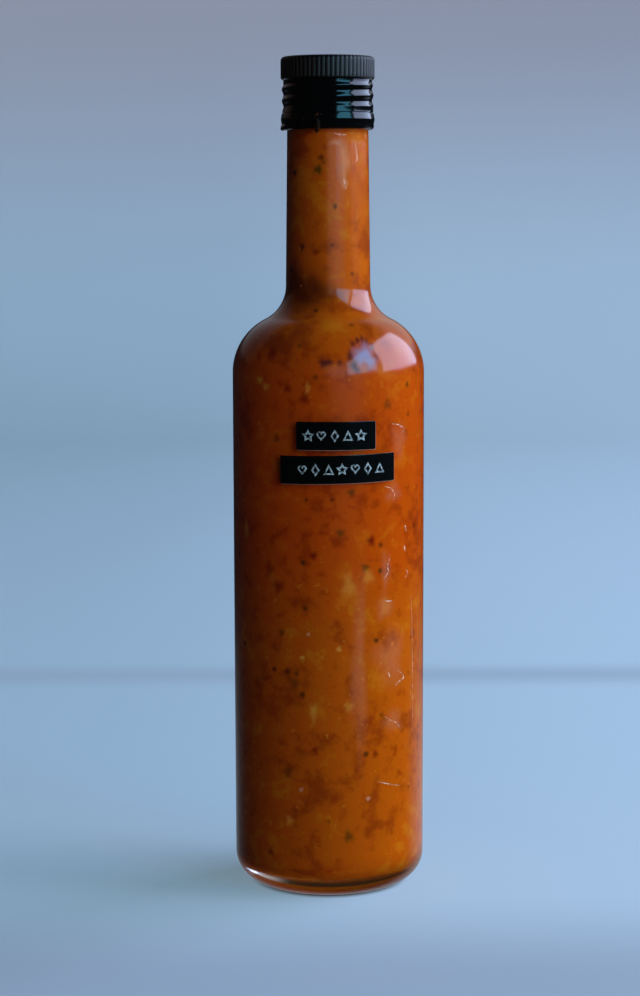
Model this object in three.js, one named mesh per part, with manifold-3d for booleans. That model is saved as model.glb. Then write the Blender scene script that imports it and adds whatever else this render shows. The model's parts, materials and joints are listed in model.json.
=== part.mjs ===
// A half-litre round glass bottle filled with thick ketchup, shut with a black
// roll-on aluminium screw cap, with two strips of embossing tape on its front.
// Millimetres, +Z up. The origin is the centre of the base, where the bottle
// stands. The tapes face -Y, and angles run from there towards +X.
import * as THREE from 'three';
import { mergeVertices } from 'three/addons/utils/BufferGeometryUtils.js';
import Module from 'manifold-3d';

const wasm = await Module();
wasm.setup();

// Bottle: outside
const bodyRadius = 32.5;
const heelRadius = 10;
const bearingWidth = 2;
const puntRise = 3.5;
const shoulderHeight = 176;
const shoulderRadius = 20.2;
const neckFilletRadius = 12.7;
const neckRootRadius = 14.28;
const neckTopRadius = 13.65;
const finishHeight = 257.3;
const finishRadius = 13.8;
const lipHeight = 279.2;
const lipRounding = 0.8;

// Bottle: inside
const wallThickness = 2.8;
const floorThickness = 6.8;
const floorCornerRadius = 8;
const floorCrown = 2.5;

// Contents
const contactGap = 0.3;
const fillHeight = 266;

// Screw cap
const capHeight = 281.5;
const capRadius = 15.75;
const capEdgeRounding = 1.4;
const capSheet = 0.45;
const capTopThickness = 2;
const knurlCount = 63;
const knurlDepth = 0.4;
const knurlBottom = 274.1;
const knurlRunOut = 0.7;
const threadRootRadius = 14.85;
const threadDepth = 0.5;
const threadPitch = 3.75;
const threadPhaseHeight = 267.8;
const threadTop = 272.9;
const threadFade = 1;
const skirtBottom = 263.1;
const skirtFlareHeight = 1.5;
const skirtBottomRadius = 15.3;
const capBoreRadius = 14.3;

// Ring that the cap leaves on the neck
const ringTop = 262.8;
const ringShoulderHeight = 260.9;
const ringHemHeight = 259.2;
const ringBottom = 257.3;
const ringTopRadius = 15.35;
const hemRadius = 14.5;
const hemRollIn = 0.35;
const hemRollUp = 0.9;
const hemBendAngle = THREE.MathUtils.degToRad(-78);
const hemBendWidth = THREE.MathUtils.degToRad(24);
const hemBendOut = 1.2;
const hemBendDown = 0.5;

// Embossing tape
const tapeHeight = 9.3;
const tapeThickness = 0.3;
const tapeGap = 0.06;
const tapeStep = THREE.MathUtils.degToRad(3);
const upperTape = { from: -19.1, to: 28.1, height: 157.4, rise: 0 };
const lowerTape = { from: -29.3, to: 41.4, height: 146.3, rise: 0.6 };

// Dried drop of ketchup under the cap
const dropAngle = THREE.MathUtils.degToRad(-13);
const dropRadius = 15.9;
const dropHeight = 258.3;
const dropSize = { wide: 2.2, deep: 2.7, tall: 5 };

// Facets round each turned piece
const bottleSides = 60;
const contentsSides = 44;
const skirtSides = 66;
const ringSides = 60;
const boreSides = 48;

const halfTurn = Math.PI;
const fullTurn = 2 * Math.PI;

// Points of an arc in the (radius, height) plane. Angle 0 points away from the axis.
function arc(centreRadius, centreHeight, radius, from, to, steps) {
  const points = [];
  for (let i = 0; i <= steps; i += 1) {
    const angle = from + ((to - from) * i) / steps;
    points.push(
      new THREE.Vector2(
        centreRadius + radius * Math.cos(angle),
        centreHeight + radius * Math.sin(angle),
      ),
    );
  }
  return points;
}

// Merged vertices and whole triangles only, so that the surface closes.
function closed(geometry) {
  geometry.deleteAttribute('normal');
  geometry.deleteAttribute('uv');
  const merged = mergeVertices(geometry, 1e-4);
  const index = merged.index.array;
  const kept = [];
  for (let i = 0; i < index.length; i += 3) {
    const [a, b, c] = [index[i], index[i + 1], index[i + 2]];
    if (a !== b && b !== c && c !== a) {
      kept.push(a, b, c);
    }
  }
  merged.setIndex(kept);
  return merged;
}

// Turns an outline about Z. The outline runs from the bottom outwards and up.
function turned(outline, sides) {
  const geometry = new THREE.LatheGeometry(outline, sides);
  geometry.rotateX(halfTurn / 2);
  return closed(geometry);
}

// Moves every vertex to the radius and height that the rule gives it.
function reshape(geometry, rule) {
  const position = geometry.attributes.position;
  for (let i = 0; i < position.count; i += 1) {
    const x = position.getX(i);
    const y = position.getY(i);
    const radius = Math.hypot(x, y);
    if (radius > 0) {
      const angle = Math.atan2(x, -y);
      const [newRadius, newHeight] = rule(angle, radius, position.getZ(i));
      const scale = newRadius / radius;
      position.setXYZ(i, x * scale, y * scale, newHeight);
    }
  }
  return geometry;
}

function toSolid(geometry) {
  return new wasm.Manifold(
    new wasm.Mesh({
      numProp: 3,
      vertProperties: new Float32Array(geometry.attributes.position.array),
      triVerts: new Uint32Array(geometry.index.array),
    }),
  );
}

function fromSolid(solid) {
  const { vertProperties, triVerts, numProp } = solid.getMesh();
  const positions = [];
  for (let i = 0; i < vertProperties.length; i += numProp) {
    positions.push(vertProperties[i], vertProperties[i + 1], vertProperties[i + 2]);
  }
  const geometry = new THREE.BufferGeometry();
  geometry.setAttribute('position', new THREE.Float32BufferAttribute(positions, 3));
  geometry.setIndex(Array.from(triVerts));
  return geometry;
}

// The shoulder is a round of shoulderRadius that meets the neck in a fillet.
const shoulderCentre = bodyRadius - shoulderRadius;
const filletCentre = neckRootRadius + neckFilletRadius;
const shoulderTurn = Math.acos(
  (filletCentre - shoulderCentre) / (shoulderRadius + neckFilletRadius),
);
const filletHeight =
  shoulderHeight + (shoulderRadius + neckFilletRadius) * Math.sin(shoulderTurn);

// Shoulder and neck root, moved in from the outside of the glass by an inset.
function shoulder(inset) {
  return [
    ...arc(shoulderCentre, shoulderHeight, shoulderRadius - inset, 0, shoulderTurn, 8),
    ...arc(
      filletCentre,
      filletHeight,
      neckFilletRadius + inset,
      halfTurn + shoulderTurn,
      halfTurn,
      5,
    ).slice(1),
  ];
}

function neckRadiusAt(height) {
  const share = (height - filletHeight) / (finishHeight - filletHeight);
  return neckRootRadius + (neckTopRadius - neckRootRadius) * share;
}

// The hollow from the middle of its floor up to a height in the neck.
function hollow(inset, topHeight) {
  const depth = wallThickness + inset;
  const corner = floorCornerRadius - inset;
  const cornerRadius = bodyRadius - depth - corner;
  const floor = floorThickness + inset;
  return [
    new THREE.Vector2(0, floor + floorCrown),
    new THREE.Vector2(cornerRadius / 2, floor + floorCrown * 0.8),
    ...arc(cornerRadius, floor + corner, corner, -halfTurn / 2, 0, 5),
    ...shoulder(depth),
    new THREE.Vector2(neckRadiusAt(topHeight) - depth, topHeight),
  ];
}

function bottleGlass() {
  const bearingOuter = bodyRadius - heelRadius;
  const bearingInner = bearingOuter - bearingWidth;
  const lipInner = neckRadiusAt(lipHeight) - wallThickness;
  const outside = [
    new THREE.Vector2(0, puntRise),
    new THREE.Vector2(bearingInner / 2, puntRise * 0.8),
    new THREE.Vector2(bearingInner, 0),
    ...arc(bearingOuter, heelRadius, heelRadius, -halfTurn / 2, 0, 6),
    ...shoulder(0),
    new THREE.Vector2(neckTopRadius, finishHeight),
    new THREE.Vector2(finishRadius, finishHeight + 1),
    ...arc(finishRadius - lipRounding, lipHeight - lipRounding, lipRounding, 0, halfTurn / 2, 2),
  ];
  const inside = hollow(0, lipHeight - lipRounding).reverse();
  return turned([...outside, new THREE.Vector2(lipInner + lipRounding, lipHeight), ...inside], bottleSides);
}

function ketchup() {
  return turned([...hollow(contactGap, fillHeight), new THREE.Vector2(0, fillHeight)], contentsSides);
}

// Head of the cap: two facets to each rib, which runs out at both of its ends.
function knurledHead() {
  const edge = capRadius - capEdgeRounding;
  const knurlTop = capHeight - capEdgeRounding;
  const outline = [
    new THREE.Vector2(0, knurlBottom),
    new THREE.Vector2(threadRootRadius, knurlBottom),
    new THREE.Vector2(capRadius - knurlDepth, knurlBottom + knurlDepth),
    new THREE.Vector2(capRadius, knurlBottom + knurlRunOut),
    new THREE.Vector2(capRadius, knurlTop - knurlRunOut),
    ...arc(edge, knurlTop, capEdgeRounding, 0, halfTurn / 2, 3),
    new THREE.Vector2(0, capHeight),
  ];
  const head = turned(outline, 2 * knurlCount);
  const isOnRib = (height) => height > knurlBottom + knurlDepth && height < knurlTop;
  return reshape(head, (angle, radius, height) => {
    const side = Math.round((angle * 2 * knurlCount) / fullTurn);
    const isValley = side % 2 !== 0 && isOnRib(height);
    return [isValley ? radius - knurlDepth : radius, height];
  });
}

// Height of the rolled thread above its root, a right-hand screw of one start.
function threadRelief(angle, height) {
  const turns = (height - threadPhaseHeight) / threadPitch - angle / fullTurn;
  const wave = 0.5 + 0.5 * Math.cos(turns * fullTurn);
  const fade = THREE.MathUtils.clamp((threadTop - height) / threadFade, 0, 1);
  return threadDepth * wave * fade;
}

function threadedSkirt() {
  const flareTop = skirtBottom + skirtFlareHeight;
  const rows = 11;
  const outline = [new THREE.Vector2(0, skirtBottom), new THREE.Vector2(skirtBottomRadius, skirtBottom)];
  for (let row = 0; row <= rows; row += 1) {
    const height = flareTop + ((threadTop - flareTop) * row) / rows;
    outline.push(new THREE.Vector2(threadRootRadius, height));
  }
  const top = knurlBottom + knurlDepth;
  outline.push(new THREE.Vector2(threadRootRadius, top), new THREE.Vector2(0, top));
  return reshape(turned(outline, skirtSides), (angle, radius, height) => {
    const isThread = height > skirtBottom && height < top;
    return [isThread ? radius + threadRelief(angle, height) : radius, height];
  });
}

function screwCap() {
  const boreTop = capHeight - capTopThickness;
  const bore = new THREE.CylinderGeometry(
    capBoreRadius,
    capBoreRadius,
    boreTop - skirtBottom + 1,
    boreSides,
  );
  bore.rotateX(halfTurn / 2);
  bore.translate(0, 0, (boreTop + skirtBottom - 1) / 2);
  const outer = toSolid(knurledHead()).add(toSolid(threadedSkirt()));
  return fromSolid(outer.subtract(toSolid(closed(bore))));
}

// Outside of the ring from its hem up, moved out by a gap.
function ringFace(gap) {
  return [
    new THREE.Vector2(hemRadius, ringBottom - gap),
    new THREE.Vector2(capRadius - hemRollIn + gap, ringBottom + hemRollUp - gap),
    new THREE.Vector2(capRadius + gap, ringHemHeight),
    new THREE.Vector2(capRadius + gap, ringShoulderHeight),
    new THREE.Vector2(ringTopRadius + gap, ringTop),
  ];
}

// The ring's hem is rolled in all round but for one stretch that is bent out.
function capRing() {
  const outside = ringFace(0);
  const inside = [
    new THREE.Vector2(ringTopRadius - capSheet, ringTop),
    new THREE.Vector2(capRadius - capSheet, ringShoulderHeight),
    new THREE.Vector2(capRadius - capSheet, ringHemHeight),
    new THREE.Vector2(hemRadius - capSheet, ringBottom + capSheet),
  ];
  const outline = [...outside, ...inside, outside[0]];
  return reshape(turned(outline, ringSides), (angle, radius, height) => {
    const bend = Math.max(0, 1 - Math.abs(angle - hemBendAngle) / hemBendWidth);
    const share = THREE.MathUtils.clamp((ringHemHeight - height) / (ringHemHeight - ringBottom), 0, 1);
    return [radius + hemBendOut * bend * share, height - hemBendDown * bend * share];
  });
}

// A flat strip bent round the body, with a small rise from its left end to its right.
function tapeStrip({ from, to, height, rise }) {
  const start = THREE.MathUtils.degToRad(from);
  const sweep = THREE.MathUtils.degToRad(to - from);
  const inner = bodyRadius + tapeGap;
  const steps = Math.round(sweep / tapeStep);
  const strip = new THREE.BoxGeometry(1, tapeThickness, tapeHeight, steps, 1, 1);
  const position = strip.attributes.position;
  for (let i = 0; i < position.count; i += 1) {
    const along = position.getX(i) + 0.5;
    const angle = start + along * sweep;
    const radius = inner + tapeThickness / 2 - position.getY(i);
    position.setXYZ(
      i,
      radius * Math.sin(angle),
      -radius * Math.cos(angle),
      height + position.getZ(i) + (along - 0.5) * rise,
    );
  }
  return closed(strip);
}

// The drop clings to the ring's face and hangs below its hem.
function driedDrop() {
  const drop = new THREE.SphereGeometry(0.5, 12, 8);
  drop.rotateX(halfTurn / 2);
  drop.scale(dropSize.wide, dropSize.deep, dropSize.tall);
  drop.translate(0, -dropRadius, dropHeight);
  drop.rotateZ(dropAngle);
  const ringSpace = turned(
    [
      new THREE.Vector2(0, ringBottom - contactGap),
      ...ringFace(contactGap),
      new THREE.Vector2(0, ringTop),
    ],
    ringSides,
  );
  return fromSolid(toSolid(closed(drop)).subtract(toSolid(ringSpace)));
}

const clearGlass = new THREE.MeshStandardMaterial({
  color: 0xcfdad8,
  roughness: 0.05,
  metalness: 0,
  transparent: true,
  opacity: 0.35,
});
const ketchupPulp = new THREE.MeshStandardMaterial({ color: 0x9a4a0c, roughness: 0.45, metalness: 0 });
const blackLacquer = new THREE.MeshStandardMaterial({ color: 0x08090a, roughness: 0.2, metalness: 0.3 });
const ringLacquer = new THREE.MeshStandardMaterial({ color: 0x0a0b0c, roughness: 0.22, metalness: 0.3 });
const tapePlastic = new THREE.MeshStandardMaterial({ color: 0x0b1014, roughness: 0.25, metalness: 0 });
const lowerPlastic = tapePlastic.clone();
const driedPulp = new THREE.MeshStandardMaterial({ color: 0x3a1a08, roughness: 0.6, metalness: 0 });

const bottle = new THREE.Group();

function addPiece(name, geometry, material) {
  const mesh = new THREE.Mesh(geometry, material);
  mesh.name = name;
  bottle.add(mesh);
}

addPiece('bottle_glass', bottleGlass(), clearGlass);
addPiece('ketchup', ketchup(), ketchupPulp);
addPiece('screw_cap', screwCap(), blackLacquer);
addPiece('cap_ring', capRing(), ringLacquer);
addPiece('tape_upper', tapeStrip(upperTape), tapePlastic);
addPiece('tape_lower', tapeStrip(lowerTape), lowerPlastic);
addPiece('dried_drop', driedDrop(), driedPulp);

export default bottle;
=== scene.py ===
"""Looks of a half-litre glass bottle of ketchup with a black roll-on cap and two strips of embossing tape.

Metres, +Z up. The origin is the centre of the base and the tapes face -Y. Angles run from there towards +X.
"""

import json
import math

import bmesh
import bpy
import numpy as np
from bpy.props import FloatProperty, FloatVectorProperty, IntProperty, PointerProperty
from mathutils import Matrix, Vector

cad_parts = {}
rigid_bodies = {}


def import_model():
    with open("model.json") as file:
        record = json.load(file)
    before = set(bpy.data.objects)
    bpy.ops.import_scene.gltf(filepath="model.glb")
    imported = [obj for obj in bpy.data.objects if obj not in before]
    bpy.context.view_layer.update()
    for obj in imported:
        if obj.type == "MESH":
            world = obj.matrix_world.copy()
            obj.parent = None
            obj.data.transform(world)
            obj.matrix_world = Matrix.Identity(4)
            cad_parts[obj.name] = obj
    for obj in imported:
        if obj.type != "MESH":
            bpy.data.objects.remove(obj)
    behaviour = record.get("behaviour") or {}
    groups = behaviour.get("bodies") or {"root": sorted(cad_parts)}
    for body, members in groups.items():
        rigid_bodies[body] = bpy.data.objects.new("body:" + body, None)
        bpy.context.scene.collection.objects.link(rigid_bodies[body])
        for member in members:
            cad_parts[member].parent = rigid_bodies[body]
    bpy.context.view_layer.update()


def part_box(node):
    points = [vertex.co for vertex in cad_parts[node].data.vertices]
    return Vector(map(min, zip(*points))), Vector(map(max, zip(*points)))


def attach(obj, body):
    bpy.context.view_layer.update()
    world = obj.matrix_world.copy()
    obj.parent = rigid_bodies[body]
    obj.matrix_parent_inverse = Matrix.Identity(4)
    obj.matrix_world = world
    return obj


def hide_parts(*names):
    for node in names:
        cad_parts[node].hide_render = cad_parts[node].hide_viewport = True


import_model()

bl_info = {
    "name": "Ketchup bottle",
    "version": (1, 0, 0),
    "blender": (4, 5, 0),
    "location": "3D View > Sidebar > Bottle",
    "description": "Builds a capped glass bottle of ketchup with two strips of embossing tape",
    "category": "Add Mesh",
}

MM = 0.001
BODY = "root"
FULL_TURN = 2 * math.pi
SHARP = math.radians(35)
ON_AXIS = 1e-7

GLASS_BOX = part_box("bottle_glass")
CAP_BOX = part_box("screw_cap")
RING_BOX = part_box("cap_ring")


# Sizes and colours that a user would change


def length(name, description, default):
    return FloatProperty(name=name, description=description, default=default, unit="LENGTH", precision=5)


def degrees(name, description, default):
    return FloatProperty(name=name, description=description, default=math.radians(default), subtype="ANGLE")


def colour(name, description, code):
    return FloatVectorProperty(
        name=name, description=description, default=linear(code)[:3], size=3, subtype="COLOR", min=0, max=1
    )


def linear(code):
    """Linear RGBA of an sRGB colour given as six hex digits."""
    values = [int(code[i : i + 2], 16) / 255 for i in (0, 2, 4)]
    return tuple(v / 12.92 if v <= 0.04045 else ((v + 0.055) / 1.055) ** 2.4 for v in values) + (1.0,)


class BottleSizes(bpy.types.PropertyGroup):
    body_radius: length("Body radius", "Outside radius of the body", GLASS_BOX[1].x)
    heel_radius: length("Heel radius", "Round between the wall and the base", 10 * MM)
    bearing_width: length("Bearing width", "Flat ring that the bottle stands on", 2 * MM)
    punt_rise: length("Punt rise", "Height of the hollow under the base", 3.5 * MM)
    shoulder_height: length("Shoulder height", "Where the straight wall ends", 176 * MM)
    shoulder_radius: length("Shoulder radius", "Round of the shoulder", 20.2 * MM)
    neck_fillet: length("Neck fillet", "Round between the shoulder and the neck", 12.7 * MM)
    neck_root: length("Neck root radius", "Outside radius of the neck at its root", 14.28 * MM)
    neck_top: length("Neck top radius", "Outside radius of the neck under the cap", 13.65 * MM)
    finish_height: length("Finish height", "Where the neck's finish starts", 257.3 * MM)
    finish_radius: length("Finish radius", "Outside radius of the finish", 13.8 * MM)
    lip_height: length("Lip height", "Top of the glass", GLASS_BOX[1].z)
    lip_round: length("Lip round", "Round of the lip", 0.8 * MM)
    wall: length("Wall", "Thickness of the glass wall", 2.8 * MM)
    floor: length("Floor", "Thickness of the glass floor at its edge", 6.8 * MM)
    floor_corner: length("Floor corner", "Round inside, between the floor and the wall", 8 * MM)
    floor_crown: length("Floor crown", "How far the floor rises to its middle", 2.5 * MM)
    columns: IntProperty(name="Columns", description="Facets round the glass", default=256, min=24)


class KetchupSizes(bpy.types.PropertyGroup):
    contact: length("Contact", "How far the ketchup reaches into the glass, so that no air shows", 0.08 * MM)
    level: length("Level", "Height that the bottle is filled to", 266 * MM)
    shade: colour("Shade", "Darkest pulp", "923C06")
    pulp: colour("Pulp", "Most of the pulp", "B45506")
    pale: colour("Pale pulp", "Palest pulp", "BC6A0E")
    front_columns: IntProperty(name="Front columns", description="Facets in front", default=230, min=24)
    back_columns: IntProperty(name="Back columns", description="Facets behind", default=28, min=6)


class CapSizes(bpy.types.PropertyGroup):
    top: length("Top", "Height of the cap's top", CAP_BOX[1].z)
    bottom: length("Bottom", "Lower edge of the cap", CAP_BOX[0].z)
    radius: length("Radius", "Radius over the ribs", 15.75 * MM)
    edge_round: length("Edge round", "Round of the top edge", 1.4 * MM)
    rib_depth: length("Rib depth", "How far the ribs stand out", 0.16 * MM)
    rib_width: length("Rib width", "Width of a rib", 1.2 * MM)
    rib_count: IntProperty(name="Ribs", description="Ribs round the head", default=63, min=3)
    rib_bottom: length("Rib bottom", "Lower end of the ribbed head", 274.1 * MM)
    thread_root: length("Thread root", "Radius at the bottom of the rolled thread", 14.85 * MM)
    thread_depth: length("Thread depth", "Depth of the rolled thread", 0.5 * MM)
    thread_pitch: length("Thread pitch", "Rise in one turn", 3.75 * MM)
    thread_phase: length("Thread phase", "Height of a crest at the front", 267.8 * MM)
    thread_top: length("Thread top", "Where the thread runs out", 272.9 * MM)
    flare_height: length("Flare height", "Height of the flared lower edge", 1.5 * MM)
    flare_radius: length("Flare radius", "Radius of the lower edge", 15.3 * MM)
    bore: length("Bore", "Inside radius", 14.3 * MM)
    lip_sheet: length("Lip sheet", "Thickness of the lip behind the ring", 0.35 * MM)
    lip_drop: length("Lip drop", "How far the lip reaches down behind the ring", 1 * MM)
    liner: length("Liner", "Thickness of the top with its seal", 2 * MM)
    columns: IntProperty(name="Columns", description="Facets round the cap", default=378, min=24)


class RingSizes(bpy.types.PropertyGroup):
    top: length("Top", "Top edge of the ring", RING_BOX[1].z)
    shoulder: length("Shoulder", "Where the sloping top meets the face", 260.9 * MM)
    hem: length("Hem", "Where the face turns in", 259.2 * MM)
    bottom: length("Bottom", "Rolled lower edge", 257.3 * MM)
    radius: length("Radius", "Radius of the face", 15.75 * MM)
    top_radius: length("Top radius", "Radius of the top edge", 15.35 * MM)
    hem_radius: length("Hem radius", "Radius of the rolled edge", 14.5 * MM)
    sheet: length("Sheet", "Thickness of the aluminium", 0.45 * MM)
    bend_angle: degrees("Bend", "Where the hem is bent out", -78)
    bend_width: degrees("Bend width", "Half width of the bent stretch", 24)
    bend_out: length("Bend out", "How far the hem is bent out", 1.1 * MM)
    bend_down: length("Bend down", "How far the bent hem drops", 0.4 * MM)


class TapeSizes(bpy.types.PropertyGroup):
    height: length("Tape width", "Width of the embossing tape", 9.3 * MM)
    thickness: length("Thickness", "Thickness of the tape with its glue", 0.22 * MM)
    corner: length("Corner", "Round of the cut corners", 0.5 * MM)
    bevel: length("Bevel", "Round of the long edges", 0.07 * MM)
    upper_from: degrees("Upper from", "Left end of the upper tape", -19.1)
    upper_to: degrees("Upper to", "Right end of the upper tape", 28.1)
    upper_height: length("Upper height", "Middle of the upper tape", 157.4 * MM)
    lower_from: degrees("Lower from", "Left end of the lower tape", -29.3)
    lower_to: degrees("Lower to", "Right end of the lower tape", 41.4)
    lower_height: length("Lower height", "Middle of the lower tape", 146.3 * MM)
    lower_rise: length("Lower rise", "How far the lower tape climbs to its right end", 0.6 * MM)
    motif_size: length("Motif size", "Height of an embossed motif", 3.3 * MM)
    motif_stroke: length("Motif stroke", "Width of an embossed line", 0.62 * MM)
    motif_relief: length("Motif relief", "Height of an embossed line", 0.11 * MM)
    motif_step: length("Motif step", "Distance from one motif to the next", 4.42 * MM)
    upper_row: degrees("Upper row", "Middle of the upper row of motifs", 3.35)
    lower_row: degrees("Lower row", "Middle of the lower row of motifs", 7.6)
    # The pale strip below and beside a tape: its glue, with a painted highlight where its edge is lit
    glue_and_highlight_edge: length("Glue edge", "How far the pale glue shows below and beside a tape", 0.2 * MM)


# Meshes


def arc(centre, height, radius, start, end, steps):
    """(radius, height) points of an arc. Angle 0 points away from the axis."""
    angles = [start + (end - start) * i / steps for i in range(steps + 1)]
    return [(centre + radius * math.cos(a), height + radius * math.sin(a)) for a in angles]


def rows(start, end, count):
    """Evenly spaced (radius, height) points after the start, up to the end."""
    return [tuple(np.add(start, np.subtract(end, start) * i / count)) for i in range(1, count + 1)]


def new_piece(name, vertices, faces, sharp=SHARP):
    mesh = bpy.data.meshes.new(name)
    mesh.from_pydata([tuple(v) for v in vertices], [], faces)
    mesh.validate()
    mesh.shade_smooth()
    mesh.set_sharp_from_angle(angle=sharp)
    piece = bpy.data.objects.new(name, mesh)
    bpy.context.scene.collection.objects.link(piece)
    return piece


def even_turn(columns):
    return FULL_TURN * np.arange(columns) / columns


def turned(name, outline, angles, rule=None, sharp=SHARP):
    """Piece turned about Z from an outline that runs from the bottom outwards and up.

    An end on the axis becomes a pole, and an outline with no end there closes on itself. The rule
    gives each vertex its radius and height from its angle, radius and height.
    """
    outline = np.array(outline, float)
    columns = len(angles)
    vertices = []
    first = []
    for radius, height in outline:
        first.append(len(vertices))
        if radius < ON_AXIS:
            vertices.append((0.0, 0.0, height))
            continue
        radii, heights = np.full(columns, radius), np.full(columns, height)
        if rule:
            radii, heights = rule(angles, radii, heights)
        vertices.extend(np.stack([radii * np.sin(angles), -radii * np.cos(angles), heights], 1))
    on_axis = outline[:, 0] < ON_AXIS
    pairs = [(i, i + 1) for i in range(len(outline) - 1)]
    if not on_axis[0]:
        pairs.append((len(outline) - 1, 0))
    faces = []
    for low, high in pairs:
        for i in range(columns):
            j = (i + 1) % columns
            face = [first[low]] if on_axis[low] else [first[low] + i, first[low] + j]
            face += [first[high]] if on_axis[high] else [first[high] + j, first[high] + i]
            if len(face) > 2:
                faces.append(face)
    return new_piece(name, vertices, faces, sharp)


def swept(name, vertices, size, closed=False, sharp=SHARP):
    """Piece skinned from section to section. The vertices hold the sections in turn, each of one size."""
    sections = len(vertices) // size
    faces = [] if closed else [list(range(size)), [len(vertices) - 1 - i for i in range(size)]]
    for i in range(sections if closed else sections - 1):
        after = (i + 1) % sections
        for j in range(size):
            k = (j + 1) % size
            faces.append([i * size + j, after * size + j, after * size + k, i * size + k])
    piece = new_piece(name, vertices, faces, sharp)
    shape = bmesh.new()
    shape.from_mesh(piece.data)
    bmesh.ops.recalc_face_normals(shape, faces=shape.faces)
    shape.to_mesh(piece.data)
    shape.free()
    return piece


def discard(piece):
    mesh = piece.data
    bpy.data.objects.remove(piece)
    bpy.data.meshes.remove(mesh)


def joined(name, *pieces):
    """One piece made of several, which are removed."""
    shape = bmesh.new()
    for piece in pieces:
        shape.from_mesh(piece.data)
    mesh = bpy.data.meshes.new(name)
    shape.to_mesh(mesh)
    shape.free()
    made = bpy.data.objects.new(name, mesh)
    bpy.context.scene.collection.objects.link(made)
    for piece in pieces:
        discard(piece)
    return made


def finished(piece, material, slot, *nodes):
    """Gives a piece its material, hangs it on the body that it rides on and hides the parts of the model
    that it stands for.
    """
    piece.data.materials.clear()
    piece.data.materials.append(material)
    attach(piece, BODY)
    if nodes:
        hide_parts(*nodes)


# Geometry Nodes


def new_tree(name, **sockets):
    """Geometry Nodes tree with a Geometry output and the named inputs, each a socket type and a default."""
    tree = bpy.data.node_groups.new(name, "GeometryNodeTree")
    tree.interface.new_socket("Geometry", in_out="OUTPUT", socket_type="NodeSocketGeometry")
    for key, (kind, default) in sockets.items():
        socket = tree.interface.new_socket(key.replace("_", " "), in_out="INPUT", socket_type=kind)
        if default is not None:
            socket.default_value = default
    return tree


def grown(name, tree, **values):
    """Plain mesh object of a tree's result, with the named inputs set first."""
    carrier = bpy.data.objects.new(name + "_carrier", bpy.data.meshes.new(name + "_seed"))
    bpy.context.scene.collection.objects.link(carrier)
    modifier = carrier.modifiers.new("Build", "NODES")
    modifier.node_group = tree
    identifiers = {
        item.name: item.identifier for item in tree.interface.items_tree if item.item_type == "SOCKET"
    }
    for key, value in values.items():
        modifier[identifiers[key.replace("_", " ")]] = value
    graph = bpy.context.evaluated_depsgraph_get()
    result = bpy.data.meshes.new_from_object(carrier.evaluated_get(graph))
    result.name = name
    carrier.modifiers.remove(modifier)
    discard(carrier)
    piece = bpy.data.objects.new(name, result)
    bpy.context.scene.collection.objects.link(piece)
    return piece


def add(tree, kind, inputs=None, stops=None, **settings):
    """Adds a node. Inputs are its sockets, each given a value or another node's output."""
    made = tree.nodes.new(kind)
    for key, value in settings.items():
        setattr(made, key, value)
    for key, value in (inputs or {}).items():
        if isinstance(value, bpy.types.NodeSocket):
            tree.links.new(value, made.inputs[key])
        else:
            made.inputs[key].default_value = value
    if stops:
        elements = made.color_ramp.elements
        while len(elements) < len(stops):
            elements.new(1)
        for element, (place, tone) in zip(elements, stops):
            element.position = place
            element.color = tone
    return made


def on_cylinder(tree, turn, radius, height):
    """Place at a turn from the front, a radius and a height."""
    forward = add(tree, "ShaderNodeMath", {0: radius, 1: -1.0}, operation="MULTIPLY")
    front = add(tree, "ShaderNodeCombineXYZ", {1: forward.outputs[0], 2: height})
    inputs = {"Vector": front.outputs[0], "Angle": turn}
    return add(tree, "ShaderNodeVectorRotate", inputs, rotation_type="Z_AXIS").outputs[0]


def planted(tree, copies, material, smooth=True):
    """Ends a tree with real copies of a shape on its points, in their material."""
    placed = add(tree, "GeometryNodeInstanceOnPoints", copies)
    real = add(tree, "GeometryNodeRealizeInstances", {"Geometry": placed.outputs[0]})
    if smooth:
        real = add(tree, "GeometryNodeSetShadeSmooth", {"Geometry": real.outputs[0]})
    painted = add(tree, "GeometryNodeSetMaterial", {"Geometry": real.outputs[0], "Material": material})
    add(tree, "NodeGroupOutput", {"Geometry": painted.outputs[0]})
    return tree


# Materials


def new_material(name):
    material = bpy.data.materials.new(name)
    material.use_nodes = True
    material.node_tree.nodes.clear()
    return material


def surfaced(material, inputs):
    """The material, ended with a Principled surface of the given inputs."""
    tree = material.node_tree
    shader = add(tree, "ShaderNodeBsdfPrincipled", inputs)
    add(tree, "ShaderNodeOutputMaterial", {"Surface": shader.outputs[0]})
    return material


def plain(name, code, roughness, ior):
    """Material of one even colour."""
    inputs = {"Base Color": linear(code), "Roughness": roughness, "IOR": ior}
    return surfaced(new_material(name), inputs)


def flecked(name, width, detail, stops, inputs):
    """Material whose colour changes in flecks about as wide as given."""
    material = new_material(name)
    tree = material.node_tree
    place = add(tree, "ShaderNodeTexCoord").outputs["Object"]
    flecks = add(tree, "ShaderNodeTexNoise", {"Vector": place, "Scale": 1 / width, "Detail": detail})
    tones = [(share, linear(code)) for share, code in stops]
    tone = add(tree, "ShaderNodeValToRGB", {"Fac": flecks.outputs["Fac"]}, stops=tones)
    return surfaced(material, {"Base Color": tone.outputs["Color"], **inputs})


def axes_of(tree, place):
    """X, Y and Z of a place, and its distance from the bottle's axis as reach."""
    axes = add(tree, "ShaderNodeSeparateXYZ", {0: place}).outputs
    flat = add(tree, "ShaderNodeCombineXYZ", {0: axes["X"], 1: axes["Y"]})
    reach = add(tree, "ShaderNodeVectorMath", {0: flat.outputs[0]}, operation="LENGTH")
    return {"X": axes["X"], "Y": axes["Y"], "Z": axes["Z"], "reach": reach.outputs["Value"]}


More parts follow.
